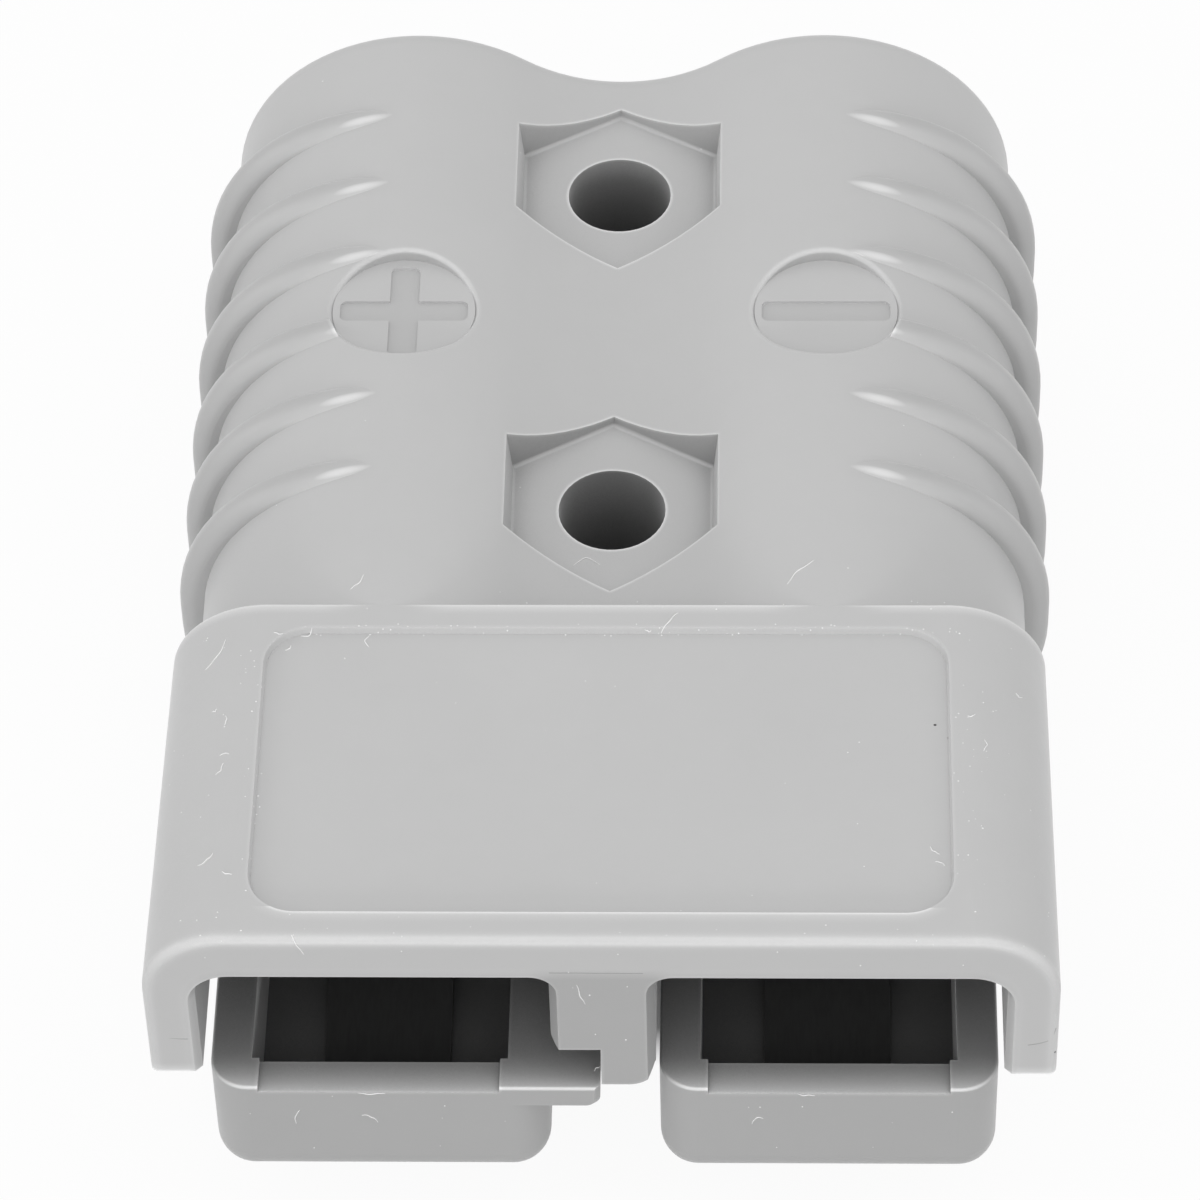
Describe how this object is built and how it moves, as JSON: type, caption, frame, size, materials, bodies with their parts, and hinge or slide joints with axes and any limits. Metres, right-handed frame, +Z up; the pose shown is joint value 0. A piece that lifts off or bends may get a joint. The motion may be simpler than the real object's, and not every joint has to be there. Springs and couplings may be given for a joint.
{
  "type": "genderless power connector housing",
  "caption": "Genderless high-current power connector housing: hood, two open contact fingers, ribbed twin-barrel body with bolt holes in nut pockets, and leaf springs inside.",
  "frame": {"origin": "on the resting plane, under the middle of the overall length and width", "axes": "+X towards the negative pole, +Y towards the cable end, +Z up, towards the hood"},
  "size_m": [0.0576, 0.0806, 0.0284],
  "materials": {
    "moulded_grey": "satin moulded",
    "spring_steel": "blackened, rolled"
  },
  "bodies": {
    "root": {"housing": "moulded_grey", "positive_contact_spring": "spring_steel", "negative_contact_spring": "spring_steel"}
  },
  "joints": []
}
